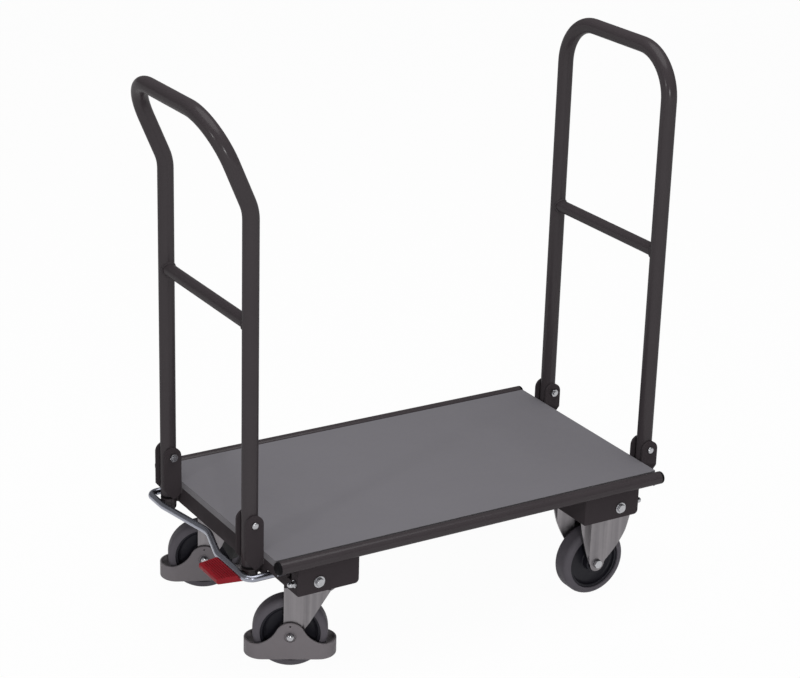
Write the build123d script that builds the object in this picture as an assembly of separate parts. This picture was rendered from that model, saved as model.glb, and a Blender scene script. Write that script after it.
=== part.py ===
from build123d import *
import os
from math import atan2, radians, sin, sqrt, tan

os.makedirs("parts", exist_ok=True)

# Folding platform cart, millimetres, +Z up, standing on Z = 0.
# The push handle is at -X, the nose handle at +X, and right is -Y as seen by whoever pushes.

# Deck panel
deck_length = 750.0
deck_width = 417.0
deck_thickness = 12.0
deck_corner = 3.0

# Side rails, two tubes along the deck's long edges
rail_diameter = 22.0
rail_wall = 2.0
rail_gap = 0.5
rail_rise = 2.5
rail_set_back = 1.0
plug_cap = 6.0
plug_depth = 18.0
plug_round = 4.0

# End rails, folded angles under the deck's short edges
end_rail_height = 31.0
end_rail_flange = 30.0
end_rail_wall = 3.0
end_rail_gap = 0.1
arm_notch_gap = 1.5

# Folding handles
tube_diameter = 27.0
tube_wall = 2.0
post_inset = 58.5
post_gap = 2.5
fold_clearance = 6.5
stack_gap = 1.0
corner_radius = 80.0
push_bend_drop = 148.0
push_top_height = 945.0
push_lean = 64.0
push_bend_radius = 70.0
nose_top_height = 957.0
crossbar_diameter = 22.0
crossbar_wall = 2.0
crossbar_height = 612.0
weld_gap = 0.05
post_foot_drop = 27.0
foot_cap = 3.0
foot_round = 2.1

# Hinge lugs, two plates to a post, and the fixed stub that each post stands over
lug_thickness = 4.0
lug_side_gap = 0.6
lug_shoulder_drop = 11.0
lug_foot_drop = 30.0
lug_inner_drop = 22.0
lug_toe = 5.0
stub_top_gap = 2.0
stub_length = 24.0
stub_round = 8.0
stub_pad_width = 12.0
stub_pad_height = 10.0
pivot_diameter = 8.0
pivot_running = 0.05
pivot_head = 12.0
pivot_head_height = 4.0
pivot_head_round = 2.4
pivot_nut_flats = 13.0
pivot_nut_height = 6.5

# Crossmembers, folded pans across the cart over each pair of casters
member_inset = 94.5
member_margin = 7.0
member_depth = 56.0
member_wall = 3.0
member_tab_height = 45.0

# Corner shoes, folded sheet boxes that join side rail and crossmember
shoe_wall = 3.0
shoe_reach = 88.0
shoe_under_rail = 6.0
shoe_lip = 3.0
shoe_top_drop = 12.0
shoe_relief = 9.0
shoe_round = 7.0
shoe_fold = 2.5
side_bolt_x = 18.0
end_screw_inset = 8.0
end_screw = 6.0
end_screw_flange = 13.0
end_screw_flats = 10.0
end_screw_head = 9.0
end_screw_dome = 4.5
end_screw_length = 14.0
shoe_bolt_rise = 16.0
flange_bolt = 8.0
flange_bolt_flats = 13.0
flange_bolt_flange = 20.0
flange_bolt_head = 6.5
flange_thickness = 2.0
flange_nut_height = 7.0
bolt_end = 3.0
bolt_hole_gap = 0.05

# Casters
caster_offset = 3.0
caster_inset = 51.0
caster_head = 37.0
trail = 38.0
swivel_right = 28.4
swivel_left = 24.2
wheel_diameter = 125.0
wheel_width = 36.0
tyre_depth = 12.5
tyre_shoulder = 9.0
rim_gap = 0.05
rim_lip_width = 30.0
rim_lip_depth = 5.0
rim_web_width = 14.0
rim_round = 2.0
rim_dish = 5.5
hub_diameter = 36.0
hub_width = 43.0
bush_diameter = 16.0
axle_diameter = 10.0
axle_running = 0.05
axle_head_flats = 14.0
axle_head_height = 5.5
axle_nut_height = 8.0
axle_dome = 5.6
plate_length = 92.0
plate_width = 84.0
plate_thickness = 3.0
plate_bolt = 8.0
plate_bolt_edge = 10.0
plate_bolt_y_swivel = 24.0
plate_bolt_y_fixed = 19.0
plate_bolt_flats = 13.0
plate_bolt_head = 5.0
plate_nut_height = 6.5
fork_sheet = 3.0
fork_face = 26.0
fork_strip = 17.0
fork_wing_x = 44.0
fork_wing_face = 42.5
fork_edge_x = 52.0
fork_edge_face = 44.0
fork_foot_radius = 14.5
fork_bulge = 6.0
fork_bend = 4.0

# Swivel head
crown_radius = 38.0
crown_thickness = 4.5
crown_running = 0.4
race_radius = 33.0
race_height = 9.0
kingpin_diameter = 16.0
kingpin_running = 0.05
kingpin_head = 24.0
kingpin_head_height = 4.0
kingpin_rise = 4.0
kingpin_hole_gap = 1.0
leg_front = 11.0
leg_joggle_from = 20.0
leg_joggle_to = 32.0
leg_joggle = 6.0
leg_heel_x = 24.5
leg_heel_rise = 15.0
leg_rear_x = 66.0
leg_foot_radius = 13.0

# Toe guard round each swivel wheel
guard_overhang = 14.0
guard_wall = 3.0
guard_side_gap = 1.5
guard_bottom = 20.0
guard_band_top = 48.0
guard_lip = 1.2
guard_foot = 2.5
guard_peak = 25.0
guard_sweep = 45.0
guard_seat = 24.0
guard_recess = 20.0
guard_recess_depth = 1.5
guard_pin_hole = 3.0
guard_pin_rise = 18.5

# Central brake
bar_diameter = 12.0
bar_gap = 2.0
bar_drop = 24.0
bar_arm_inset = 27.0
bar_kink_reach = 14.0
bar_kink_y = 1.0
bar_pedal_length = 105.0
bar_plain_length = 56.0
bar_corner = 16.0
bar_kink_round = 60.0
brake_angle = 5.5
lever_reach = 31.5
brake_pivot_drop = 4.0
brake_pin = 8.0
brake_running = 0.05
lever_hub = 16.0
lever_lap = 11.0
lever_web = 2.0
lever_socket_wall = 3.0
lever_socket_depth = 36.0
ear_thickness = 3.0
ear_gap = 1.0
ear_width = 18.0
ear_above = 9.0
ear_round = 8.0
pin_end = 2.0
slot_clearance = 1.5
plunger_stem = 8.0
plunger_button = 14.0
plunger_button_height = 5.0
plunger_dome = 3.0
plunger_gap = 0.7
plunger_foot = 12.0
plunger_foot_height = 8.0
plunger_foot_clearance = 6.0
pedal_front = 38.0
pedal_back = 7.5
pedal_thickness = 9.5
pedal_fall = 4.0
pedal_round = 3.0
pedal_skew = 16.0
pedal_ribs = 7
pedal_rib = 1.2
catch_top_width = 41.0
catch_foot_width = 30.0
catch_foot_shift = 15.5
catch_foot_rise = 12.0
catch_y = 45.5
catch_drop = 27.0
catch_lap = 14.0
catch_depth = 13.0

# How far a cutting shape runs past what it cuts
overcut = 1.0

# Places worked out from the sizes above
wheel_radius = wheel_diameter / 2
axle_z = wheel_radius
caster_height = wheel_diameter + caster_head
web_top = caster_height + member_wall
deck_half = deck_length / 2
deck_under = caster_height + member_depth
deck_top = deck_under + deck_thickness
rail_radius = rail_diameter / 2
rail_y = deck_width / 2 + rail_gap + rail_radius
rail_z = deck_top + rail_rise - rail_radius
rail_half = deck_half - rail_set_back
tube_radius = tube_diameter / 2
post_x = deck_half + post_gap + tube_radius
post_y = deck_width / 2 - post_inset
post_foot = deck_top - post_foot_drop
lug_half = post_x - deck_half
nose_pivot = deck_top + fold_clearance + tube_radius
push_pivot = nose_pivot + tube_diameter + stack_gap
push_bend_height = push_top_height - push_bend_drop
member_end = rail_y - shoe_under_rail - shoe_wall
member_x = deck_half - member_inset
member_half = plate_length / 2 + member_margin
shoe_bolt_z = caster_height + shoe_bolt_rise
caster_x = member_x - caster_offset
caster_y = member_end - caster_inset
plate_bolt_x = plate_length / 2 - plate_bolt_edge
guard_length = wheel_diameter + 2 * guard_overhang
bar_radius = bar_diameter / 2
bar_height = deck_under - bar_drop
bar_arm_y = member_end - bar_arm_inset
bar_kink_x = deck_half + bar_kink_reach
bar_pedal_run = bar_arm_y - bar_pedal_length
bar_plain_run = bar_arm_y - bar_plain_length
end_screw_y = member_end - end_screw_inset
brake_pivot_x = caster_x - lever_reach
lever_inner = caster_y - lever_lap
bar_x = post_x + tube_radius + bar_gap + bar_radius
brake_pivot_z = bar_height - brake_pivot_drop
kink_turn = atan2(bar_x - bar_kink_x, bar_kink_y + bar_pedal_run)
pedal_far = bar_pedal_run + bar_kink_round * tan(kink_turn / 2)
pedal_near = bar_arm_y - bar_corner
pedal_width = pedal_near - pedal_far
pedal_y = (pedal_near + pedal_far) / 2
push_reach = post_x + push_lean + tube_radius
nose_reach = post_x + lug_half
origin_shift = (push_reach - nose_reach) / 2

LOW = (Align.CENTER, Align.CENTER, Align.MIN)
TO_PLUS_Y = Rot(-90, 0, 0)
TO_MINUS_Y = Rot(90, 0, 0)
TO_PLUS_X = Rot(0, 90, 0)
TO_MINUS_X = Rot(0, -90, 0)

nodes = {}


def block(x, y, z):
    """A box given by its low and high value on each axis."""
    size = [high - low for low, high in (x, y, z)]
    middle = [(high + low) / 2 for low, high in (x, y, z)]
    return Pos(*middle) * Box(*size)


def rod(radius, low, high):
    """An upright cylinder on the Z axis between two heights."""
    return Pos(0, 0, low) * Cylinder(radius, high - low, align=LOW)


def hexagon(flats, low, high):
    """A hexagon along Z with its corners turned off at both ends."""
    prism = Pos(0, 0, low) * extrude(RegularPolygon(flats / 2, 6, major_radius=False), high - low)
    corner = flats / sqrt(3)
    blank = rod(corner, low, high)
    return prism & chamfer(blank.edges().filter_by(GeomType.CIRCLE), corner - flats / 2)


def side_plate(outline, thickness):
    """A sheet from an outline in X and Z, centred on Y = 0."""
    return extrude(Plane.XZ * make_face(outline), thickness / 2, both=True)


def mirror_y(part):
    return mirror(part, Plane.XZ)


def mirror_x(part):
    return mirror(part, Plane.YZ)


def both_sides(part):
    return [part, mirror_y(part)]


def save_solids(name, solids):
    nodes[name] = solids


def hex_bolt(diameter, length, flats, head):
    """Shank up the Z axis from its seat at zero, with a hexagon head below."""
    return hexagon(flats, -head, 0) + rod(diameter / 2, 0, length)


def flange_screw(length):
    head = hexagon(flange_bolt_flats, -flange_bolt_head, -flange_thickness)
    flange = rod(flange_bolt_flange / 2, -flange_thickness, 0)
    return head + flange + rod(flange_bolt / 2, 0, length)


def hex_nut(diameter, flats, height):
    return hexagon(flats, 0, height) - rod(diameter / 2 + bolt_hole_gap, -overcut, height + overcut)


def bent_tube(points, radii, diameter, wall):
    """A round tube along straight runs joined by tangent bends."""
    path = FilletPolyline(*points, radius=radii)
    start = Plane(path @ 0, z_dir=path % 0)
    outer = sweep(start * Circle(diameter / 2), path)
    bore = sweep(start * Circle(diameter / 2 - wall), path)
    return outer - bore


# Deck panel: one coated board let in between the side rails
deck = block((-deck_half, deck_half), (-deck_width / 2, deck_width / 2), (deck_under, deck_top))
deck = fillet(deck.edges().filter_by(Axis.Z), deck_corner)
save_solids("deck_panel", [deck])


# Side rails and their end plugs
def side_rail():
    rail = rod(rail_radius, -rail_half, rail_half)
    rail -= rod(rail_radius - rail_wall, -rail_half - overcut, rail_half + overcut)
    return Pos(0, -rail_y, rail_z) * TO_PLUS_X * rail


def rail_plug():
    cap = rod(rail_radius, 0, plug_cap)
    cap = fillet(cap.edges().group_by(Axis.Z)[-1], plug_round)
    stem = rod(rail_radius - rail_wall - weld_gap, -plug_depth, 0)
    return Pos(rail_half, -rail_y, rail_z) * TO_PLUS_X * (cap + stem)


right_rail = side_rail()
save_solids("right_side_rail", [right_rail])
save_solids("left_side_rail", [mirror_y(right_rail)])
near_plugs = [rail_plug(), mirror_x(rail_plug())]
save_solids("rail_plugs", near_plugs + [mirror_y(plug) for plug in near_plugs])


# End rails: angle with a flange under the deck and a notch at each end for the brake bar's arms
def end_rail():
    half = rail_y - rail_radius - end_rail_gap
    low = deck_under - end_rail_height
    face = block((deck_half - end_rail_wall, deck_half), (-half, half), (low, deck_under))
    flange_in = deck_half - end_rail_flange
    face += block((flange_in, deck_half), (-half, half), (deck_under - end_rail_wall, deck_under))
    notch_x = (deck_half - end_rail_wall - overcut, deck_half + overcut)
    notch_half = bar_radius + arm_notch_gap
    notch_y = (-half - overcut, -bar_arm_y + notch_half)
    notch = block(notch_x, notch_y, (low - overcut, bar_height + notch_half))
    return face - notch - mirror_y(notch)


nose_rail = end_rail()
save_solids("nose_end_rail", [nose_rail])
save_solids("push_end_rail", [mirror_x(nose_rail)])


# Hinge lugs: plates with a round top about the pivot and a pointed foot
def hinge_lug(pivot):
    shoulder = deck_top - lug_shoulder_drop
    foot = deck_top - lug_foot_drop
    inner = deck_top - lug_inner_drop
    outline = Polyline(
        (-lug_half, pivot),
        (-lug_half, inner),
        (-lug_toe, foot),
        (0, foot),
        (lug_half, shoulder),
        (lug_half, pivot),
    )
    outline += ThreePointArc((lug_half, pivot), (0, pivot + lug_half), (-lug_half, pivot))
    plate = side_plate(outline, lug_thickness)
    hole = rod(pivot_diameter / 2 + bolt_hole_gap, -lug_thickness, lug_thickness)
    return plate - Pos(0, 0, pivot) * TO_PLUS_Y * hole


lug_offset = tube_radius + lug_side_gap + lug_thickness / 2


def lug_pairs(pivot):
    lug = hinge_lug(pivot)
    places = [side * post_y + turn * lug_offset for side in (-1, 1) for turn in (-1, 1)]
    return [Pos(post_x, y, 0) * lug for y in places]


save_solids("nose_hinge_lugs", lug_pairs(nose_pivot))
save_solids("push_hinge_lugs", [mirror_x(lug) for lug in lug_pairs(push_pivot)])


# Post stubs: short closed tubes on the end rails that carry the posts on in line
def post_stub():
    top = post_foot - foot_cap - stub_top_gap
    stub = rod(tube_radius, top - stub_length, top)
    stub = fillet(stub.edges().group_by(Axis.Z)[0], stub_round)
    pad_x = (-lug_half, -tube_radius / 2)
    pad_y = (-stub_pad_width / 2, stub_pad_width / 2)
    stub += block(pad_x, pad_y, (top - stub_pad_height, top))
    return Pos(post_x, -post_y, 0) * stub


nose_stubs = both_sides(post_stub())
save_solids("nose_post_stubs", nose_stubs)
save_solids("push_post_stubs", [mirror_x(stub) for stub in nose_stubs])

# Pivot bolts with round heads outboard and nuts inboard
pivot_grip = 2 * tube_radius + 2 * lug_side_gap + 2 * lug_thickness


def pivot_bolt(pivot):
    head = rod(pivot_head / 2, -pivot_head_height, 0)
    head = fillet(head.edges().group_by(Axis.Z)[0], pivot_head_round)
    bolt = head + rod(pivot_diameter / 2, 0, pivot_grip + pivot_nut_height + bolt_end)
    return Pos(post_x, -post_y - pivot_grip / 2, pivot) * TO_PLUS_Y * bolt


def pivot_nut(pivot):
    nut = hex_nut(pivot_diameter, pivot_nut_flats, pivot_nut_height)
    return Pos(post_x, -post_y + pivot_grip / 2, pivot) * TO_PLUS_Y * nut


nose_bolts = both_sides(pivot_bolt(nose_pivot))
push_bolts = [mirror_x(bolt) for bolt in both_sides(pivot_bolt(push_pivot))]
save_solids("pivot_bolts", nose_bolts + push_bolts)
nose_nuts = both_sides(pivot_nut(nose_pivot))
push_nuts = [mirror_x(nut) for nut in both_sides(pivot_nut(push_pivot))]
save_solids("pivot_nuts", nose_nuts + push_nuts)


# Folding handles: bent tube, welded crossbar and foot plugs
def handle_nodes(name, points, radii, pivot):
    tube = bent_tube(points, radii, tube_diameter, tube_wall)
    post = points[0][0]
    for side in (-1, 1):
        hole = rod(pivot_diameter / 2 + pivot_running, -tube_diameter, tube_diameter)
        tube -= Pos(post, side * post_y, pivot) * TO_PLUS_Y * hole
    bar = rod(crossbar_diameter / 2, -post_y, post_y)
    bar -= rod(crossbar_diameter / 2 - crossbar_wall, -2 * post_y, 2 * post_y)
    bar = Pos(post, 0, crossbar_height) * TO_PLUS_Y * bar
    for side in (-1, 1):
        saddle = rod(tube_radius + weld_gap, 0, crossbar_height + tube_diameter)
        bar -= Pos(post, side * post_y, 0) * saddle
    cap = rod(tube_radius, -foot_cap, 0)
    cap = fillet(cap.edges().group_by(Axis.Z)[0], foot_round)
    cap += rod(tube_radius - tube_wall - weld_gap, 0, plug_depth)
    save_solids(name + "_handle_tube", [tube])
    save_solids(name + "_crossbar", [bar])
    save_solids(name + "_foot_plugs", both_sides(Pos(post, -post_y, post_foot) * cap))


push_points = [
    (-post_x, -post_y, post_foot),
    (-post_x, -post_y, push_bend_height),
    (-post_x - push_lean, -post_y, push_top_height),
    (-post_x - push_lean, post_y, push_top_height),
    (-post_x, post_y, push_bend_height),
    (-post_x, post_y, post_foot),
]
push_radii = [push_bend_radius, corner_radius, corner_radius, push_bend_radius]
handle_nodes("push", push_points, push_radii, push_pivot)
nose_points = [
    (post_x, -post_y, post_foot),
    (post_x, -post_y, nose_top_height),
    (post_x, post_y, nose_top_height),
    (post_x, post_y, post_foot),
]
handle_nodes("nose", nose_points, [corner_radius, corner_radius], nose_pivot)

# Crossmembers: pans with a caster web below, two flanges up to the deck and a tab at each end
arm_drop = (member_x + member_half - brake_pivot_x) * sin(radians(brake_angle))
slot_half = bar_radius + slot_clearance
slot_z = (bar_height - arm_drop - slot_half, bar_height + slot_half)
slot_y = (-bar_arm_y - slot_half, -bar_arm_y + slot_half)


def rail_seat():
    return Pos(0, -rail_y, rail_z) * TO_PLUS_X * rod(rail_radius + weld_gap, -deck_length, deck_length)


def plate_bolt_places(middle_x, bolt_y):
    return [
        (middle_x + turn * plate_bolt_x, side * caster_y + lean * bolt_y)
        for side in (-1, 1)
        for turn in (-1, 1)
        for lean in (-1, 1)
    ]


def web_hole(radius):
    return rod(radius, caster_height - overcut, web_top + overcut)


def crossmember(middle, bolt_y, caster_middle):
    low, high = middle - member_half, middle + member_half
    pan = block((low, high), (-member_end, member_end), (caster_height, web_top))
    pan += block((low, low + member_wall), (-member_end, member_end), (caster_height, deck_under))
    pan += block((high - member_wall, high), (-member_end, member_end), (caster_height, deck_under))
    tab_z = (caster_height, caster_height + member_tab_height)
    tab = block((low, high), (-member_end, -member_end + member_wall), tab_z)
    pan += tab + mirror_y(tab)
    pan -= rail_seat() + mirror_y(rail_seat())
    for x, y in plate_bolt_places(caster_middle, bolt_y):
        pan -= Pos(x, y, 0) * web_hole(plate_bolt / 2 + bolt_hole_gap)
    side_hole = rod(flange_bolt / 2 + bolt_hole_gap, -overcut, member_wall + overcut)
    outward = 1 if middle > 0 else -1
    side_hole = Pos(middle + outward * side_bolt_x, -member_end, shoe_bolt_z) * TO_PLUS_Y * side_hole
    end_hole = rod(end_screw / 2 + bolt_hole_gap, -member_wall - overcut, overcut)
    turn = TO_PLUS_X if middle > 0 else TO_MINUS_X
    end_hole = Pos(middle + outward * member_half, -end_screw_y, shoe_bolt_z) * turn * end_hole
    for hole in (side_hole, end_hole):
        pan -= hole + mirror_y(hole)
    return pan


def arm_slot(middle):
    """The upright slot that one arm of the brake bar moves in."""
    outer = middle - member_half - shoe_wall
    inner = outer + shoe_wall + member_wall
    return block((outer - overcut, inner + overcut), slot_y, slot_z)


push_member = crossmember(-member_x, plate_bolt_y_swivel, -caster_x)
push_slots = arm_slot(-member_x) + mirror_y(arm_slot(-member_x))
push_member -= push_slots
for side in (-1, 1):
    push_member -= Pos(-caster_x, side * caster_y, 0) * web_hole(kingpin_diameter / 2 + kingpin_hole_gap)
save_solids("push_crossmember", [push_member])
save_solids("nose_crossmember", [crossmember(member_x, plate_bolt_y_fixed, caster_x)])


# Corner shoes: a side face under the rail with a wall folded back at each end
def corner_shoe(middle):
    low, high = middle - member_half - shoe_wall, middle + member_half + shoe_wall
    face_y = -member_end - shoe_wall
    foot = caster_height - shoe_lip
    top = rail_z - shoe_top_drop
    face = block((low, high), (face_y, -member_end), (foot, rail_z))
    face = fillet(face.edges().filter_by(Axis.Y).sort_by(Axis.Z)[:2].sort_by(Axis.X)[-1], shoe_round)
    back = face_y + shoe_reach
    front_wall = block((low, low + shoe_wall), (face_y, back), (foot, top))
    rear_wall = block((high - shoe_wall, high), (face_y, back), (foot + shoe_relief, top))
    shoe = face + front_wall + rear_wall
    folds = shoe.edges().filter_by(Axis.Z).group_by(Axis.Y)[0]
    shoe = fillet(folds.sort_by(Axis.X)[:1], shoe_fold)
    shoe -= rail_seat()
    outward = 1 if middle > 0 else -1
    hole = rod(flange_bolt / 2 + bolt_hole_gap, -shoe_wall - overcut, shoe_wall + overcut)
    shoe -= Pos(middle + outward * side_bolt_x, face_y, shoe_bolt_z) * TO_PLUS_Y * hole
    hole = rod(end_screw / 2 + bolt_hole_gap, -shoe_wall - overcut, shoe_wall + overcut)
    shoe -= Pos(middle + outward * (member_half + shoe_wall), -end_screw_y, shoe_bolt_z) * TO_PLUS_X * hole
    return shoe


push_shoe = corner_shoe(-member_x) - arm_slot(-member_x)
nose_shoe = corner_shoe(member_x)
save_solids("push_right_shoe", [push_shoe])
save_solids("push_left_shoe", [mirror_y(push_shoe)])
save_solids("nose_right_shoe", [nose_shoe])
save_solids("nose_left_shoe", [mirror_y(nose_shoe)])

# Shoe fixings: a flange bolt and nut through each side face, a domed screw tapped into each end wall
shoe_grip = shoe_wall + member_wall
shoe_bolt = flange_screw(shoe_grip + flange_nut_height + bolt_end)
shoe_nut = Pos(0, 0, shoe_grip) * hex_nut(flange_bolt, flange_bolt_flats, flange_nut_height)


def domed_screw():
    dome = rod(end_screw_flats / 2, -end_screw_head - end_screw_dome, -flange_thickness)
    dome = fillet(dome.edges().group_by(Axis.Z)[0], end_screw_dome)
    head = hexagon(end_screw_flats, -end_screw_head, -flange_thickness)
    flange = rod(end_screw_flange / 2, -flange_thickness, 0)
    return dome + head + flange + rod(end_screw / 2, 0, end_screw_length)


def at_side(fixing, outward):
    place = Pos(outward * (member_x + side_bolt_x), -member_end - shoe_wall, shoe_bolt_z)
    return both_sides(place * TO_PLUS_Y * fixing)


def at_end(fixing, outward):
    turn = TO_MINUS_X if outward > 0 else TO_PLUS_X
    place = Pos(outward * (member_x + member_half + shoe_wall), -end_screw_y, shoe_bolt_z)
    return both_sides(place * turn * fixing)


end_screws = at_end(domed_screw(), -1) + at_end(domed_screw(), 1)
save_solids("shoe_bolts", at_side(shoe_bolt, -1) + at_side(shoe_bolt, 1) + end_screws)
save_solids("shoe_nuts", at_side(shoe_nut, -1) + at_side(shoe_nut, 1))

# Caster plate bolts from below and their nuts on the crossmember webs
plate_under = caster_height - plate_thickness
caster_bolt_length = web_top - plate_under + plate_nut_height + bolt_end
caster_bolt = hex_bolt(plate_bolt, caster_bolt_length, plate_bolt_flats, plate_bolt_head)
caster_nut = hex_nut(plate_bolt, plate_bolt_flats, plate_nut_height)
bolt_places = plate_bolt_places(-caster_x, plate_bolt_y_swivel)
bolt_places += plate_bolt_places(caster_x, plate_bolt_y_fixed)
save_solids("caster_bolts", [Pos(x, y, plate_under) * caster_bolt for x, y in bolt_places])
save_solids("caster_nuts", [Pos(x, y, web_top) * caster_nut for x, y in bolt_places])


# Caster plates, flat with four bolt holes
def caster_plate(bolt_y):
    half_x, half_y = plate_length / 2, plate_width / 2
    plate = block((-half_x, half_x), (-half_y, half_y), (plate_under, caster_height))
    plate = fillet(plate.edges().filter_by(Axis.Z), plate_bolt_flats / 2)
    for x in (-plate_bolt_x, plate_bolt_x):
        for y in (-bolt_y, bolt_y):
            hole = rod(plate_bolt / 2 + bolt_hole_gap, plate_under - overcut, caster_height + overcut)
            plate -= Pos(x, y, 0) * hole
    return plate


def axle_hole(x):
    hole = rod(axle_diameter / 2 + axle_running, -2 * caster_y, 2 * caster_y)
    return Pos(x, 0, axle_z) * TO_PLUS_Y * hole


def folded_leg(points):
    """A sheet leg on the -Y side, from the plan line of its outer face, before it is cut to outline."""
    outer = [(x, -face) for x, face in points]
    inner = [(x, -face + fork_sheet) for x, face in reversed(points)]
    plan = make_face(Polyline(*outer, *inner, close=True))
    ends = (points[0][0] + overcut, points[-1][0] - overcut)
    bends = plan.vertices().filter_by(lambda v: ends[0] < v.X < ends[1])
    return extrude(fillet(bends, fork_bend), caster_height)


# Fixed casters: one pressed fork with a flat strip down to the axle and a wing flared out each side
def fixed_fork():
    plan = [
        (-fork_edge_x, fork_edge_face),
        (-fork_wing_x, fork_wing_face),
        (-fork_strip, fork_face),
        (fork_strip, fork_face),
        (fork_wing_x, fork_wing_face),
        (fork_edge_x, fork_edge_face),
    ]
    top = caster_height - plate_thickness / 2
    foot = fork_foot_radius
    waist_x = (foot + fork_edge_x) / 2 + fork_bulge
    waist_z = (axle_z + top) / 2
    outline = ThreePointArc((-foot, axle_z), (0, axle_z - foot), (foot, axle_z))
    outline += ThreePointArc((foot, axle_z), (waist_x, waist_z), (fork_edge_x, top))
    outline += Line((fork_edge_x, top), (-fork_edge_x, top))
    outline += ThreePointArc((-fork_edge_x, top), (-waist_x, waist_z), (-foot, axle_z))
    leg = folded_leg(plan) & side_plate(outline, 2 * plate_width)
    return caster_plate(plate_bolt_y_fixed) + leg + mirror_y(leg) - axle_hole(0)


fork = fixed_fork()
save_solids("nose_right_fork", [Pos(caster_x, -caster_y, 0) * fork])
save_solids("nose_left_fork", [Pos(caster_x, caster_y, 0) * fork])


# Wheels: tyre on a moulded rim with a bush through the hub, spinning about local Y
def revolved(profile):
    """Turn a profile of radius and width about the axle line."""
    return TO_PLUS_Y * revolve(Plane.XZ * profile, Axis.Z)


tyre_inner = wheel_radius - tyre_depth


def tyre():
    profile = Pos((tyre_inner + wheel_radius) / 2, 0) * Rectangle(tyre_depth, wheel_width)
    shoulders = profile.vertices().group_by(Axis.X)[-1]
    profile = fillet(shoulders, tyre_shoulder)
    return revolved(profile)


def rim():
    bore = bush_diameter / 2 + rim_gap
    outer = tyre_inner - rim_gap
    hub_radius = hub_diameter / 2
    lip = outer - rim_lip_depth
    profile = Pos((bore + hub_radius) / 2, 0) * Rectangle(hub_radius - bore, hub_width)
    profile += Pos((hub_radius + lip) / 2, 0) * Rectangle(lip - hub_radius + 2 * overcut, rim_web_width)
    profile += Pos((lip + outer) / 2, 0) * Rectangle(rim_lip_depth, rim_lip_width)
    hub_corners = profile.vertices().filter_by(lambda v: abs(v.X - hub_radius) < overcut)
    profile = fillet(hub_corners, rim_round)
    lip_corners = profile.vertices().filter_by(lambda v: abs(v.X - lip) < overcut)
    profile = fillet(lip_corners.filter_by(lambda v: abs(v.Y) > rim_web_width), rim_round)
    lip_roots = profile.vertices().filter_by(lambda v: abs(v.X - lip) < overcut)
    profile = fillet(lip_roots.filter_by(lambda v: abs(v.Y) < rim_web_width / 2 + overcut), rim_dish)
    return revolved(profile)


def bush():
    sleeve = rod(bush_diameter / 2, -hub_width / 2, hub_width / 2)
    return TO_PLUS_Y * (sleeve - rod(axle_diameter / 2 + axle_running, -hub_width, hub_width))


def wheel_nodes(name, place):
    save_solids(name + "_tyre", [place * tyre()])
    save_solids(name + "_rim", [place * rim()])
    save_solids(name + "_bush", [place * bush()])


def axle_bolt(grip):
    """Axle bolt and nut from the hexagon head on the -Y side, with the given length between seats."""
    bolt = hex_bolt(axle_diameter, grip + axle_nut_height + bolt_end, axle_head_flats, axle_head_height)
    nut = Pos(0, 0, grip) * hex_nut(axle_diameter, axle_head_flats, axle_nut_height)
    return [Pos(0, -grip / 2, 0) * TO_PLUS_Y * piece for piece in (bolt, nut)]


fixed_axles = []
for side, name in ((-1, "nose_right"), (1, "nose_left")):
    place = Pos(caster_x, side * caster_y, axle_z)
    wheel_nodes(name, place)
    for piece in axle_bolt(2 * fork_face):
        fixed_axles.append(place * (piece if side < 0 else mirror_y(piece)))
save_solids("nose_axles", fixed_axles)

# Swivel casters: plate with its ball race, hollow kingpin, trailing fork, toe guard and wheel
crown_top = plate_under - race_height - crown_running
crown_low = crown_top - crown_thickness


def swivel_plate():
    plate = caster_plate(plate_bolt_y_swivel)
    plate += rod(race_radius, plate_under - race_height, plate_under)
    return plate - rod(kingpin_diameter / 2 + bolt_hole_gap, 0, caster_height + overcut)


def kingpin():
    low = crown_low - crown_running
    pin = rod(kingpin_diameter / 2, low, web_top + kingpin_rise)
    pin += rod(kingpin_head / 2, low - kingpin_head_height, low)
    return pin - rod(plunger_stem / 2 + kingpin_running, 0, web_top + 2 * kingpin_rise)


def swivel_fork():
    rear_face = fork_face + leg_joggle
    plan = [
        (-trail - leg_front, fork_face),
        (-trail + leg_joggle_from, fork_face),
        (-trail + leg_joggle_to, rear_face),
        (-trail + leg_rear_x, rear_face),
    ]
    heel = (-trail + leg_heel_x, axle_z + leg_heel_rise)
    front_x = -trail - leg_front
    front_drop = sqrt(leg_foot_radius**2 - leg_front**2)
    rear_foot = (-trail + leg_foot_radius, axle_z)
    front_foot = (front_x, axle_z - front_drop)
    outline = Polyline(
        front_foot,
        (front_x, crown_top),
        (-trail + leg_rear_x, crown_top),
        heel,
        rear_foot,
    )
    outline += ThreePointArc(rear_foot, (-trail, axle_z - leg_foot_radius), front_foot)
    leg = folded_leg(plan) & side_plate(outline, 2 * plate_width)
    crown = rod(crown_radius, crown_low, crown_top)
    crown += block((front_x, 0), (-fork_face, fork_face), (crown_low, crown_top))
    shell = crown + leg + mirror_y(leg)
    return shell - rod(kingpin_diameter / 2 + kingpin_running, 0, caster_height) - axle_hole(-trail)


def runs_outside(edge, half_width):
    straight = guard_length / 2 - half_width
    reaches = []
    for share in (0.2, 0.8):
        point = edge @ share
        reaches.append(sqrt(max(abs(point.X) - straight, 0) ** 2 + point.Y**2))
    upright = abs((edge % 0.5).Z) > 0.99
    return not upright and all(abs(reach - half_width) < 0.01 for reach in reaches)


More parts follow.
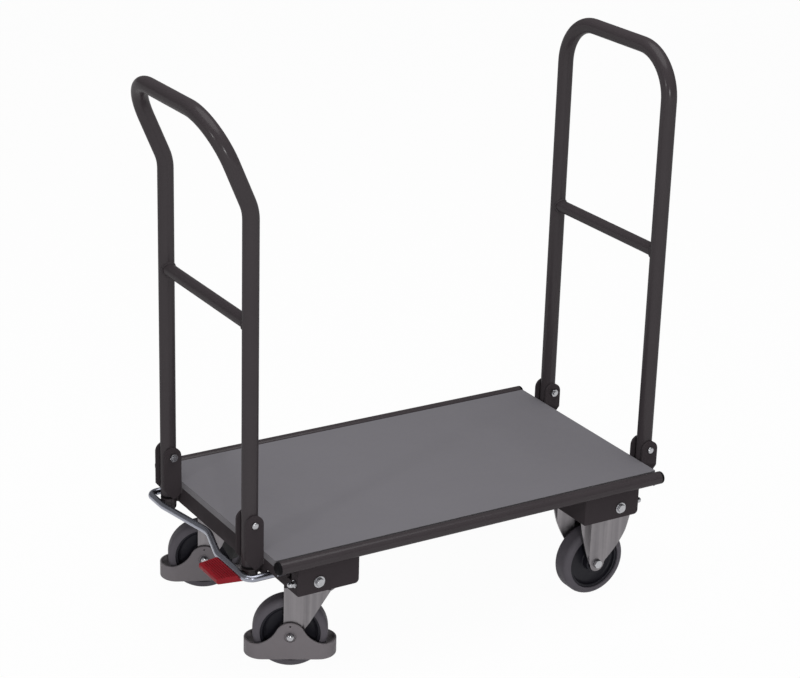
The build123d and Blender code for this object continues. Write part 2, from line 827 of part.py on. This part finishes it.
def toe_guard():
    inner_face = fork_face + guard_side_gap
    outer_face = inner_face + guard_wall
    peak_top = axle_z + guard_peak
    ring = extrude(SlotOverall(guard_length, 2 * outer_face), peak_top)
    ring -= extrude(SlotOverall(guard_length - 2 * guard_wall, 2 * inner_face), peak_top)
    sweep_rise = guard_band_top + guard_sweep - axle_z
    sweep_x = sqrt((guard_peak + guard_sweep) ** 2 - sweep_rise**2)
    share = guard_peak / (guard_peak + guard_sweep)
    join_x, join_z = sweep_x * share, axle_z + sweep_rise * share
    lower = sqrt(0.5)
    flank = (sweep_x - guard_sweep * lower, guard_band_top + guard_sweep * (1 - lower))
    end_x = guard_length
    outline = Polyline(
        (sweep_x, guard_band_top),
        (end_x, guard_band_top),
        (end_x, guard_bottom),
        (-end_x, guard_bottom),
        (-end_x, guard_band_top),
        (-sweep_x, guard_band_top),
    )
    outline += ThreePointArc((-sweep_x, guard_band_top), (-flank[0], flank[1]), (-join_x, join_z))
    outline += ThreePointArc((-join_x, join_z), (0, peak_top), (join_x, join_z))
    outline += ThreePointArc((join_x, join_z), flank, (sweep_x, guard_band_top))
    guard = ring & side_plate(outline, 4 * outer_face)
    rims_out = guard.edges().filter_by(lambda e: runs_outside(e, outer_face))
    guard = fillet(rims_out.filter_by(lambda e: e.center().Z > guard_bottom + overcut), guard_lip)
    rims_out = guard.edges().filter_by(lambda e: runs_outside(e, outer_face))
    guard = fillet(rims_out.filter_by(lambda e: e.center().Z < guard_bottom + overcut), guard_foot)
    on_axle = Pos(0, 0, axle_z) * TO_MINUS_Y
    seat = on_axle * rod(guard_seat / 2, fork_face + weld_gap, outer_face)
    recess = on_axle * rod(guard_recess / 2, outer_face - guard_recess_depth, outer_face + overcut)
    pin_hole = Pos(0, 0, guard_pin_rise) * on_axle * rod(guard_pin_hole / 2, 0, outer_face + overcut)
    guard += seat + mirror_y(seat)
    for cut in (recess, pin_hole):
        guard -= cut + mirror_y(cut)
    return Pos(-trail, 0, 0) * guard - axle_hole(-trail)


def swivel_axle():
    """Axle bolt through guard and fork: domed nut on the right, hexagon head on the left."""
    seat = fork_face + guard_side_gap + guard_wall - guard_recess_depth
    dome = Pos(0, -seat, 0) * TO_MINUS_Y * rod(axle_head_flats / 2, 0, axle_nut_height)
    dome = fillet(dome.edges().group_by(Axis.Y)[0], axle_dome)
    shank = TO_PLUS_Y * rod(axle_diameter / 2, -seat, seat)
    head = Pos(0, seat, 0) * TO_PLUS_Y * hexagon(axle_head_flats, 0, axle_head_height)
    return Pos(-trail, 0, axle_z) * (dome + shank + head)


pins = []
for side, name, angle in ((-1, "right", swivel_right), (1, "left", swivel_left)):
    head_place = Pos(-caster_x, side * caster_y, 0)
    place = head_place * Rot(0, 0, -angle)
    save_solids(f"{name}_swivel_plate", [head_place * swivel_plate()])
    pins.append(head_place * kingpin())
    save_solids(f"{name}_swivel_fork", [place * swivel_fork()])
    save_solids(f"{name}_toe_guard", [place * toe_guard()])
    save_solids(f"{name}_swivel_axle", [place * swivel_axle()])
    wheel_nodes(f"push_{name}", place * Pos(-trail, 0, axle_z))
save_solids("kingpins", pins)


# Central brake: bent bar with a pedal, a lever on each arm and a plunger down each kingpin
bar_seat_x = -(brake_pivot_x + lever_hub / 2 + lever_web)
bar_end_x = bar_seat_x - lever_socket_wall


def brake_bar():
    points = [
        (bar_end_x, -bar_arm_y, bar_height),
        (-bar_x, -bar_arm_y, bar_height),
        (-bar_x, -bar_pedal_run, bar_height),
        (-bar_kink_x, bar_kink_y, bar_height),
        (-bar_x, bar_plain_run, bar_height),
        (-bar_x, bar_arm_y, bar_height),
        (bar_end_x, bar_arm_y, bar_height),
    ]
    radii = [bar_corner, bar_kink_round, bar_kink_round, bar_kink_round, bar_corner]
    path = FilletPolyline(*points, radius=radii)
    return sweep(Plane(path @ 0, z_dir=path % 0) * Circle(bar_radius), path)


save_solids("brake_bar", [brake_bar()])

lever_outer = bar_arm_y + bar_radius + lever_socket_wall


def brake_lever():
    on_pivot = Pos(-brake_pivot_x, 0, brake_pivot_z) * TO_MINUS_Y
    hub = on_pivot * rod(lever_hub / 2, lever_inner, lever_outer)
    socket_half = bar_radius + lever_socket_wall
    socket_x = (bar_seat_x - lever_socket_depth, -brake_pivot_x)
    socket_z = (bar_height - socket_half, bar_height + socket_half)
    socket = block(socket_x, (-lever_outer, -bar_arm_y + socket_half), socket_z)
    presser_x = (-caster_x - plunger_button / 2, -brake_pivot_x)
    presser_z = (bar_height - socket_half, bar_height + socket_half / 2)
    presser = block(presser_x, (-bar_arm_y, -lever_inner), presser_z)
    lever = hub + socket + presser
    lever -= on_pivot * rod(brake_pin / 2 + brake_running, 0, rail_y)
    bore = rod(bar_radius + weld_gap, 0, lever_socket_depth + overcut)
    return lever - Pos(bar_end_x, -bar_arm_y, bar_height) * TO_MINUS_X * bore


save_solids("brake_levers", both_sides(brake_lever()))

presser_under = bar_height - bar_radius - lever_socket_wall
ear_faces = (lever_outer + ear_gap, lever_inner - ear_gap - ear_thickness)


def pivot_ear(face):
    top = brake_pivot_z + ear_above
    ear_x = (-brake_pivot_x - ear_width / 2, -brake_pivot_x + ear_width / 2)
    ear = block(ear_x, (-face - ear_thickness, -face), (web_top, top))
    ear = fillet(ear.edges().filter_by(Axis.Y).group_by(Axis.Z)[-1], ear_round)
    hole = rod(brake_pin / 2 + bolt_hole_gap, 0, rail_y)
    return ear - Pos(-brake_pivot_x, 0, brake_pivot_z) * TO_MINUS_Y * hole


def pivot_pin():
    low = ear_faces[1] - pin_end
    high = ear_faces[0] + ear_thickness + pin_end
    return Pos(-brake_pivot_x, 0, brake_pivot_z) * TO_MINUS_Y * rod(brake_pin / 2, low, high)


save_solids("brake_pivot_ears", [ear for face in ear_faces for ear in both_sides(pivot_ear(face))])
save_solids("brake_pivot_pins", both_sides(pivot_pin()))


def brake_plunger():
    top = presser_under - plunger_gap
    button_low = top - plunger_button_height
    button = rod(plunger_button / 2, button_low, top)
    button = fillet(button.edges().group_by(Axis.Z)[-1], plunger_dome)
    tyre_z = axle_z + sqrt(wheel_radius**2 - (trail - plunger_foot / 2) ** 2)
    foot_low = tyre_z + plunger_foot_clearance
    foot = rod(plunger_foot / 2, foot_low, foot_low + plunger_foot_height)
    foot = fillet(foot.edges().group_by(Axis.Z)[0], plunger_dome)
    return button + rod(plunger_stem / 2, foot_low + plunger_foot_height, button_low) + foot


for side, name in ((-1, "right"), (1, "left")):
    save_solids(f"{name}_brake_plunger", [Pos(-caster_x, side * caster_y, 0) * brake_plunger()])


def brake_pedal():
    back = -bar_x + pedal_back
    front = -bar_x - pedal_front
    low = bar_height - pedal_thickness
    outline = Polyline(
        (back, low),
        (back, bar_height),
        (-bar_x - bar_radius, bar_height),
        (front, bar_height - pedal_fall),
        (front, low - pedal_fall),
        close=True,
    )
    pedal = side_plate(outline, pedal_width)
    pedal = fillet(pedal.edges().filter_by(Axis.Y).group_by(Axis.X)[0], pedal_round)
    pitch = (pedal_front - bar_radius - 2 * pedal_round) / pedal_ribs
    fall = pedal_fall / (pedal_front - bar_radius)
    for index in range(pedal_ribs):
        reach = bar_radius + pedal_round / 2 + (index + 0.5) * pitch
        height = bar_height - (reach - bar_radius) * fall
        rib_z = (height - pedal_rib, height + pedal_rib)
        rib_y = (-pedal_width / 2 + pedal_round, pedal_width / 2 - pedal_round)
        pedal += block((-bar_x - reach - pitch / 4, -bar_x - reach + pitch / 4), rib_y, rib_z)
    pedal = Pos(0, -pedal_y, 0) * pedal
    plan = Polyline(
        (back, -pedal_near),
        (back, -pedal_far),
        (front, -pedal_far),
        (front, -pedal_near + pedal_skew),
        close=True,
    )
    pedal &= extrude(make_face(plan), deck_top)
    groove = Pos(-bar_x, 0, bar_height) * TO_PLUS_Y * rod(bar_radius + weld_gap, -deck_width, deck_width)
    return pedal - groove


save_solids("brake_pedal", [brake_pedal()])


def brake_catch():
    """Moulded block behind the push end rail that stops the bar's kink."""
    rail_low = deck_under - end_rail_height
    top = rail_low + catch_lap
    foot_y = -catch_y + catch_foot_shift
    outline = Polyline(
        (-catch_y - catch_top_width / 2, top),
        (-catch_y - catch_top_width / 2, rail_low),
        (foot_y - catch_foot_width / 2, rail_low - catch_drop),
        (foot_y + catch_foot_width / 2, rail_low - catch_drop + catch_foot_rise),
        (-catch_y + catch_top_width / 2, rail_low),
        (-catch_y + catch_top_width / 2, top),
        close=True,
    )
    catch = extrude(Plane.YZ * make_face(outline), catch_depth)
    return Pos(-deck_half + end_rail_wall, 0, 0) * catch


save_solids("brake_catch", [brake_catch()])

# Write every node with the origin on the floor under the middle of the whole cart
for name, solids in nodes.items():
    placed = [Pos(origin_shift, 0, 0) * solid for solid in solids]
    export_step(placed[0] if len(placed) == 1 else Compound(children=placed), f"parts/{name}.step")
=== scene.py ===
from math import cos, pi, radians, sin

import bpy
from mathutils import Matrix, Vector


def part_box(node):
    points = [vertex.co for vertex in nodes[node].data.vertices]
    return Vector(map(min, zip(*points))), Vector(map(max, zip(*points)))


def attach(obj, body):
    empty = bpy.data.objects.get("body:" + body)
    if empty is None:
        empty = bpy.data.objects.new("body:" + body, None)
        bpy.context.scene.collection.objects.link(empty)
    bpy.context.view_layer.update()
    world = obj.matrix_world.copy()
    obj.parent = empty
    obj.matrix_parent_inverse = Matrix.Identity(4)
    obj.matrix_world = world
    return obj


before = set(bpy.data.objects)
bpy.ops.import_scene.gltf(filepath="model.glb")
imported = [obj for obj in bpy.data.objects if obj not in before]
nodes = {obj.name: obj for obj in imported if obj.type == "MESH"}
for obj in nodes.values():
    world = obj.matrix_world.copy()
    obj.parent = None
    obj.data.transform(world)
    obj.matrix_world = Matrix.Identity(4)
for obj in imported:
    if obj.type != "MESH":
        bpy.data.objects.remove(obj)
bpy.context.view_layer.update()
bpy.context.scene.view_settings.view_transform = "Standard"


# Deck panel: a 12 mm board with a smooth grey film pressed on both faces.
# It is sawn to size. Its side faces are painted a slightly lighter grey than the film on its top
# and bottom; this is painted light on the edges.
mix_factor, mix_first, mix_second, mix_result = 0, 6, 7, 2  # sockets of a colour mix
noise_low, noise_high = 0.3, 0.7  # nearly all of a noise lies between these
texture_depth = 0.0002


def new_finish(name, colour, roughness, metallic=0.0, specular=0.5):
    """A new finish with its constants set on the shader itself."""
    finish = bpy.data.materials.new(name)
    finish.use_nodes = True
    shader = finish.node_tree.nodes["Principled BSDF"]
    shader.inputs["Base Color"].default_value = (*colour, 1.0)
    shader.inputs["Roughness"].default_value = roughness
    shader.inputs["Metallic"].default_value = metallic
    shader.inputs["Specular IOR Level"].default_value = specular
    return finish, shader


def add_node(finish, kind, settings=None, sockets=None):
    """One shader node, with its options and the values on its sockets."""
    made = finish.node_tree.nodes.new(kind)
    for key, value in (settings or {}).items():
        setattr(made, key, value)
    for key, value in (sockets or {}).items():
        made.inputs[key].default_value = value
    return made


def grain(finish, scale, detail=2.0, stretch=(1.0, 1.0, 1.0)):
    """Noise in object coordinates, in grains to the metre, drawn out by stretch."""
    join = finish.node_tree.links.new
    place = add_node(finish, "ShaderNodeTexCoord")
    draw = add_node(finish, "ShaderNodeMapping", sockets={"Scale": stretch})
    noise = add_node(finish, "ShaderNodeTexNoise", sockets={"Scale": scale, "Detail": detail})
    join(place.outputs["Object"], draw.inputs["Vector"])
    join(draw.outputs["Vector"], noise.inputs["Vector"])
    return noise.outputs["Fac"]


def spread(finish, factor, low, high):
    """Maps a noise onto a range of values."""
    span = {"From Min": noise_low, "From Max": noise_high, "To Min": low, "To Max": high}
    ramp = add_node(finish, "ShaderNodeMapRange", sockets=span)
    finish.node_tree.links.new(factor, ramp.inputs["Value"])
    return ramp.outputs["Result"]


def blend_colours(finish, factor, first, second):
    """Mixes two colours by a factor, each a tuple or another node's output."""
    join = finish.node_tree.links.new
    mix = add_node(finish, "ShaderNodeMix", {"data_type": "RGBA"})
    for socket, colour in ((mix_first, first), (mix_second, second)):
        if isinstance(colour, tuple):
            mix.inputs[socket].default_value = (*colour, 1.0)
        else:
            join(colour, mix.inputs[socket])
    join(factor, mix.inputs[mix_factor])
    return mix.outputs[mix_result]


def tint(finish, shader, factor, first, second):
    """Lets the base colour drift between two tones."""
    tone = blend_colours(finish, factor, first, second)
    finish.node_tree.links.new(tone, shader.inputs["Base Color"])


def sheen(finish, shader, factor, low, high):
    """Lets the roughness drift between two values."""
    finish.node_tree.links.new(spread(finish, factor, low, high), shader.inputs["Roughness"])


def relief(finish, shader, height, strength, edge=0.0):
    """A fine texture, over edges that look broken by the given radius."""
    join = finish.node_tree.links.new
    sizes = {"Strength": strength, "Distance": texture_depth}
    bump = add_node(finish, "ShaderNodeBump", sockets=sizes)
    join(height, bump.inputs["Height"])
    if edge:
        broken = add_node(finish, "ShaderNodeBevel", {"samples": 4}, {"Radius": edge})
        join(broken.outputs["Normal"], bump.inputs["Normal"])
    join(bump.outputs["Normal"], shader.inputs["Normal"])


def dress(finish, *names):
    """Puts a finish on the CAD nodes with these names."""
    for name in names:
        mesh = nodes[name].data
        mesh.materials.clear()
        mesh.materials.append(finish)


deck_film, shader = new_finish("deck_film", (0.178, 0.171, 0.188), 0.68, specular=0.3)
join = deck_film.node_tree.links.new
side = add_node(deck_film, "ShaderNodeTexCoord")
split = add_node(deck_film, "ShaderNodeSeparateXYZ")
join(side.outputs["Normal"], split.inputs["Vector"])
# painted light: this mask is high on the top and bottom and low on the sawn edges, by which way
# each face points
painted_edge_light_mask = add_node(deck_film, "ShaderNodeMath", {"operation": "ABSOLUTE"})
join(split.outputs["Z"], painted_edge_light_mask.inputs[0])
film_clouds = grain(deck_film, 9.0, 4.0)
film = blend_colours(deck_film, film_clouds, (0.180, 0.173, 0.190), (0.192, 0.185, 0.203))
# the sawn edges get the lighter grey as painted light; the top and bottom keep the clouded film
tint(deck_film, shader, painted_edge_light_mask.outputs["Value"], (0.200, 0.192, 0.205), film)
sheen(deck_film, shader, grain(deck_film, 35.0, 3.0), 0.64, 0.74)
relief(deck_film, shader, grain(deck_film, 1400.0), 0.10, 0.0008)
dress(deck_film, "deck_panel")


# Steel frame, handles, lugs and shoes: welded tube and folded sheet under one anthracite
# powder coat. It flows out semi-gloss on the drawn tubes and stays flatter on the sheet.
gloss_roughness, gloss_index = 0.21, 2.5


def powder(name, low, high, gloss):
    """The coat with its range of roughness and the weight of the smooth gloss over it."""
    coat, shader = new_finish(name, (0.052, 0.044, 0.048), (low + high) / 2, specular=0.01)
    shader.inputs["Coat Weight"].default_value = gloss
    shader.inputs["Coat Roughness"].default_value = gloss_roughness
    shader.inputs["Coat IOR"].default_value = gloss_index
    tint(coat, shader, grain(coat, 14.0, 4.0), (0.049, 0.041, 0.045), (0.055, 0.047, 0.051))
    sheen(coat, shader, grain(coat, 60.0, 3.0), low, high)
    relief(coat, shader, grain(coat, 650.0, 1.0), 0.05, 0.0009)
    level = add_node(coat, "ShaderNodeNewGeometry")
    coat.node_tree.links.new(level.outputs["Normal"], shader.inputs["Coat Normal"])
    return coat


tube_coat = powder("tube_coat", 0.28, 0.36, 0.07)
sheet_coat = powder("sheet_coat", 0.44, 0.56, 0.0)
for end in ("push", "nose"):
    dress(tube_coat, f"{end}_handle_tube", f"{end}_crossbar", f"{end}_post_stubs")
    dress(sheet_coat, f"{end}_hinge_lugs", f"{end}_end_rail", f"{end}_crossmember")
    dress(sheet_coat, f"{end}_right_shoe", f"{end}_left_shoe")
dress(tube_coat, "right_side_rail", "left_side_rail")


# Welds: each crossbar is run round where its ends are coped to the posts, and each hinge
# lug has a short run up the end rail. Ripples of a hand weld, coated with the frame.
ripple_least, ripple_most = (0.55, 0.90, 0.90), (0.65, 1.08, 1.08)  # along, across, across
ripple_seed = 7


def weld_tree():
    """Ripples strung along a line, with named inputs for their size and spacing."""
    tree = bpy.data.node_groups.new("weld_ripples", "GeometryNodeTree")
    face = tree.interface
    face.new_socket("Line", in_out="INPUT", socket_type="NodeSocketGeometry")
    for name in ("Ripple Size", "Ripple Pitch"):
        face.new_socket(name, in_out="INPUT", socket_type="NodeSocketFloat")
    face.new_socket("Finish", in_out="INPUT", socket_type="NodeSocketMaterial")
    face.new_socket("Weld", in_out="OUTPUT", socket_type="NodeSocketGeometry")
    new, join = tree.nodes.new, tree.links.new
    given, made = new("NodeGroupInput"), new("NodeGroupOutput")
    line = new("GeometryNodeMeshToCurve")
    steps = new("GeometryNodeResampleCurve")
    steps.mode = "LENGTH"
    drop = new("GeometryNodeMeshIcoSphere")
    drop.inputs["Subdivisions"].default_value = 2
    along = new("GeometryNodeInputTangent")
    aim = new("FunctionNodeAlignRotationToVector")
    aim.axis = "X"
    uneven = new("FunctionNodeRandomValue")
    uneven.data_type = "FLOAT_VECTOR"
    uneven.inputs["Min"].default_value = ripple_least
    uneven.inputs["Max"].default_value = ripple_most
    uneven.inputs["Seed"].default_value = ripple_seed
    row = new("GeometryNodeInstanceOnPoints")
    whole = new("GeometryNodeRealizeInstances")
    smooth = new("GeometryNodeSetShadeSmooth")
    coat = new("GeometryNodeSetMaterial")
    join(given.outputs["Line"], line.inputs["Mesh"])
    join(line.outputs["Curve"], steps.inputs["Curve"])
    join(given.outputs["Ripple Pitch"], steps.inputs["Length"])
    join(given.outputs["Ripple Size"], drop.inputs["Radius"])
    join(steps.outputs["Curve"], row.inputs["Points"])
    join(drop.outputs["Mesh"], row.inputs["Instance"])
    join(along.outputs["Tangent"], aim.inputs["Vector"])
    join(aim.outputs["Rotation"], row.inputs["Rotation"])
    join(uneven.outputs["Value"], row.inputs["Scale"])
    join(row.outputs["Instances"], whole.inputs["Geometry"])
    join(whole.outputs["Geometry"], smooth.inputs["Geometry"])
    join(smooth.outputs["Geometry"], coat.inputs["Geometry"])
    join(given.outputs["Finish"], coat.inputs["Material"])
    join(coat.outputs["Geometry"], made.inputs["Weld"])
    return tree


def lay_from_lines(name, lines, tree, values, body):
    """Runs a tree on open or closed lines and keeps what it makes as one plain piece."""
    corners, edges = [], []
    for points, closed in lines:
        first = len(corners)
        corners.extend(points)
        edges.extend((first + step, first + step + 1) for step in range(len(points) - 1))
        if closed:
            edges.append((len(corners) - 1, first))
    mesh = bpy.data.meshes.new(name + "_lines")
    mesh.from_pydata(corners, edges, [])
    piece = bpy.data.objects.new(name, mesh)
    bpy.context.scene.collection.objects.link(piece)
    run = piece.modifiers.new("run", "NODES")
    run.node_group = tree
    for socket in tree.interface.items_tree:
        if socket.in_out == "INPUT" and socket.name in values:
            run[socket.identifier] = values[socket.name]
    bpy.context.view_layer.update()
    ready = piece.evaluated_get(bpy.context.evaluated_depsgraph_get())
    plain = bpy.data.meshes.new_from_object(ready)
    piece.modifiers.clear()
    piece.data = plain
    plain.name = name
    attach(piece, body)


weld_ripples = weld_tree()
crossbar_weld = {"Ripple Size": 0.0024, "Ripple Pitch": 0.0015, "Finish": tube_coat}
lug_weld = {"Ripple Size": 0.0021, "Ripple Pitch": 0.0014, "Finish": tube_coat}
tube_radius, crossbar_radius = 0.0135, 0.011
lug_face = 0.0181  # from a post's middle to the outer face of its lug
lug_weld_drops = (0.0095, 0.005, 0.0015)  # below the end rail's top edge
weld_lift = 0.0004  # how far a weld's line stands off the tubes
ring_steps = 60
post_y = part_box("nose_handle_tube")[1][1] - tube_radius


def coped_ring(bar_x, bar_z, side):
    """The line round a crossbar's end where it meets the post on one side."""
    reach = crossbar_radius + weld_lift
    ring = []
    for step in range(ring_steps):
        turn = 2 * pi * step / ring_steps
        across = reach * cos(turn)
        cope = post_y - (tube_radius**2 - across**2) ** 0.5 - weld_lift
        ring.append((bar_x + across, side * cope, bar_z + reach * sin(turn)))
    return ring


lug_runs = []
for end in ("push", "nose"):
    low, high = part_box(f"{end}_crossbar")
    bar_x, bar_z = (low[0] + high[0]) / 2, (low[2] + high[2]) / 2
    rings = [(coped_ring(bar_x, bar_z, side), True) for side in (-1, 1)]
    lay_from_lines(
        f"{end}_crossbar_welds", rings, weld_ripples, crossbar_weld, f"{end}_handle"
    )
    rail_low, rail_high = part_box(f"{end}_end_rail")
    rail_face = rail_low[0] if end == "push" else rail_high[0]
    for side in (-1, 1):
        for face in (-1, 1):
            place_y = side * post_y + face * lug_face
            run = [(rail_face, place_y, rail_high[2] - drop) for drop in lug_weld_drops]
            lug_runs.append((run, False))
lay_from_lines("lug_welds", lug_runs, weld_ripples, lug_weld, "frame")


# Tube plugs, foot plugs and the brake catch: black plastic, each moulded in one piece.
# The plugs are pressed into the open tube ends; the catch sits behind the push end rail.
black_moulding, shader = new_finish("black_moulding", (0.009, 0.0085, 0.0095), 0.42, specular=0.03)
sheen(black_moulding, shader, grain(black_moulding, 90.0, 3.0), 0.36, 0.50)
relief(black_moulding, shader, grain(black_moulding, 1600.0), 0.12, 0.0006)
dress(black_moulding, "rail_plugs", "push_foot_plugs", "nose_foot_plugs", "brake_catch")


# Bolts, nuts, axles, pins and plungers: headed and turned steel under bright zinc plate.
# They hold the hinges, shoes, casters and brake together.
bright_zinc, shader = new_finish("bright_zinc", (0.44, 0.44, 0.46), 0.24, 1.0)
zinc_clouds = grain(bright_zinc, 220.0, 3.0)
tint(bright_zinc, shader, zinc_clouds, (0.36, 0.36, 0.375), (0.52, 0.52, 0.54))
sheen(bright_zinc, shader, grain(bright_zinc, 300.0, 3.0), 0.20, 0.34)
relief(bright_zinc, shader, grain(bright_zinc, 900.0), 0.08, 0.0005)
for place in ("pivot", "shoe", "caster"):
    dress(bright_zinc, f"{place}_bolts", f"{place}_nuts")
dress(bright_zinc, "kingpins", "nose_axles", "brake_pivot_pins")
for hand in ("right", "left"):
    dress(bright_zinc, f"{hand}_swivel_axle", f"{hand}_brake_plunger")


# Caster forks, plates and brake levers: pressed sheet, galvanised to a dull grey
# with faint drawing lines down the legs.
dull_zinc, shader = new_finish("dull_zinc", (0.215, 0.203, 0.213), 0.32, 1.0)
drawn = grain(dull_zinc, 130.0, 4.0, (1.0, 1.0, 0.04))
bands = spread(dull_zinc, drawn, 0.0, 1.0)
tint(dull_zinc, shader, bands, (0.182, 0.172, 0.181), (0.248, 0.234, 0.243))
sheen(dull_zinc, shader, grain(dull_zinc, 120.0, 4.0), 0.28, 0.42)
relief(dull_zinc, shader, drawn, 0.10, 0.0008)
for hand in ("right", "left"):
    dress(dull_zinc, f"nose_{hand}_fork", f"{hand}_swivel_fork", f"{hand}_swivel_plate")
dress(dull_zinc, "brake_levers", "brake_pivot_ears")


# Wheels: a grey thermoplastic rubber tyre moulded on a near-black rim,
# with a plated steel bush through the hub.
tyre_rubber, shader = new_finish("tyre_rubber", (0.115, 0.106, 0.122), 0.66, specular=0.2)
rubber_clouds = grain(tyre_rubber, 40.0, 4.0)
tint(tyre_rubber, shader, rubber_clouds, (0.109, 0.100, 0.116), (0.121, 0.112, 0.128))
sheen(tyre_rubber, shader, grain(tyre_rubber, 70.0, 3.0), 0.55, 0.70)
relief(tyre_rubber, shader, grain(tyre_rubber, 1100.0), 0.14, 0.0008)
rim_moulding, shader = new_finish("rim_moulding", (0.014, 0.0135, 0.019), 0.50, specular=0.2)
sheen(rim_moulding, shader, grain(rim_moulding, 80.0, 3.0), 0.38, 0.52)
relief(rim_moulding, shader, grain(rim_moulding, 1300.0), 0.12, 0.0008)
for corner in ("push_right", "push_left", "nose_right", "nose_left"):
    dress(tyre_rubber, f"{corner}_tyre")
    dress(rim_moulding, f"{corner}_rim")
    dress(bright_zinc, f"{corner}_bush")


# Toe guards: warm grey moulded plastic with a fine spark-eroded grain.
# Each goes round a swivel wheel, outside its fork, and is held by the axle.
guard_moulding, shader = new_finish("guard_moulding", (0.200, 0.182, 0.194), 0.62, specular=0.3)
guard_clouds = grain(guard_moulding, 30.0, 4.0)
tint(guard_moulding, shader, guard_clouds, (0.191, 0.174, 0.185), (0.209, 0.190, 0.203))
sheen(guard_moulding, shader, grain(guard_moulding, 90.0, 3.0), 0.50, 0.64)
relief(guard_moulding, shader, grain(guard_moulding, 1500.0), 0.20, 0.0012)
dress(guard_moulding, "right_toe_guard", "left_toe_guard")


# Central brake: a bright plated bar bent to clear the posts, with a red pedal
# moulded round its straight run.
plated_bar, shader = new_finish("plated_bar", (0.30, 0.31, 0.36), 0.28, 1.0)
sheen(plated_bar, shader, grain(plated_bar, 150.0, 4.0), 0.22, 0.34)
relief(plated_bar, shader, grain(plated_bar, 500.0), 0.05)
dress(plated_bar, "brake_bar")
pedal_red, shader = new_finish("pedal_red", (0.26, 0.006, 0.014), 0.48, specular=0.2)
tint(pedal_red, shader, grain(pedal_red, 60.0, 4.0), (0.23, 0.005, 0.012), (0.29, 0.007, 0.016))
sheen(pedal_red, shader, grain(pedal_red, 120.0, 3.0), 0.38, 0.54)
relief(pedal_red, shader, grain(pedal_red, 1200.0), 0.15, 0.0008)
dress(pedal_red, "brake_pedal")


# Studio: a pale floor that shows white and keeps a soft shadow, a broad lamp overhead,
# two softboxes at handle height that draw the streaks on the bends, and an even surround.
floor_reach = 40.0
floor_white = 0.97  # the share of the floor's look that is plain white
surround_strength = 0.26
floor_mesh = bpy.data.meshes.new("floor")
floor_corners = ((-1, -1), (1, -1), (1, 1), (-1, 1))
floor_mesh.from_pydata(
    [(floor_reach * x, floor_reach * y, 0) for x, y in floor_corners], [], [(0, 1, 2, 3)]
)
floor = bpy.data.objects.new("floor", floor_mesh)
bpy.context.scene.collection.objects.link(floor)
pale_floor, shader = new_finish("pale_floor", (0.80, 0.80, 0.80), 0.9, specular=0.0)
join = pale_floor.node_tree.links.new
rays = add_node(pale_floor, "ShaderNodeLightPath")
seen = rays.outputs["Is Camera Ray"]
for kind in ("Is Glossy Ray", "Is Transmission Ray"):
    either = add_node(pale_floor, "ShaderNodeMath", {"operation": "MAXIMUM"})
    join(seen, either.inputs[0])
    join(rays.outputs[kind], either.inputs[1])
    seen = either.outputs[0]
share = add_node(pale_floor, "ShaderNodeMath", {"operation": "MULTIPLY"}, {1: floor_white})
join(seen, share.inputs[0])
glow = {"Color": (1.0, 1.0, 1.0, 1.0), "Strength": 1.0}
white = add_node(pale_floor, "ShaderNodeEmission", sockets=glow)
show = add_node(pale_floor, "ShaderNodeMixShader")
join(share.outputs[0], show.inputs[0])
join(shader.outputs[0], show.inputs[1])
join(white.outputs[0], show.inputs[2])
join(show.outputs[0], pale_floor.node_tree.nodes["Material Output"].inputs["Surface"])
floor_mesh.materials.append(pale_floor)

world = bpy.data.worlds.new("surround")
world.use_nodes = True
surround = world.node_tree.nodes["Background"]
surround.inputs["Color"].default_value = (1.0, 1.0, 1.0, 1.0)
surround.inputs["Strength"].default_value = surround_strength
bpy.context.scene.world = world


def add_lamp(name, place, aim, size, power):
    """A round lamp at a place, aimed at a point, that the camera doesn't see."""
    lamp = bpy.data.lights.new(name, "AREA")
    lamp.shape = "DISK"
    lamp.size = size
    lamp.energy = power
    made = bpy.data.objects.new(name, lamp)
    made.location = place
    made.rotation_euler = (Vector(aim) - Vector(place)).to_track_quat("-Z", "Y").to_euler()
    made.visible_camera = False
    bpy.context.scene.collection.objects.link(made)


add_lamp("overhead_lamp", (0.1, -0.3, 3.6), (0.0, 0.0, 0.2), 3.4, 79.0)
add_lamp("left_softbox", (-3.1, -1.3, 1.5), (0.0, 0.0, 0.5), 0.28, 11.0)
add_lamp("right_softbox", (-2.5, -6.4, 1.5), (0.0, 0.0, 0.5), 0.5, 100.0)


# Camera: a long lens to the right of the push end, above the handles,
# looking down on the deck with a slight roll.
camera_data = bpy.data.cameras.new("camera")
camera_data.sensor_fit = "HORIZONTAL"
camera_data.sensor_width = 36.0
camera_data.lens = 101.38
camera = bpy.data.objects.new("camera", camera_data)
camera.location = (-1.85945, -3.03106, 1.84263)
camera.rotation_euler = (radians(68.9544), radians(-1.5999), radians(-30.9445))
bpy.context.scene.collection.objects.link(camera)
bpy.context.scene.camera = camera
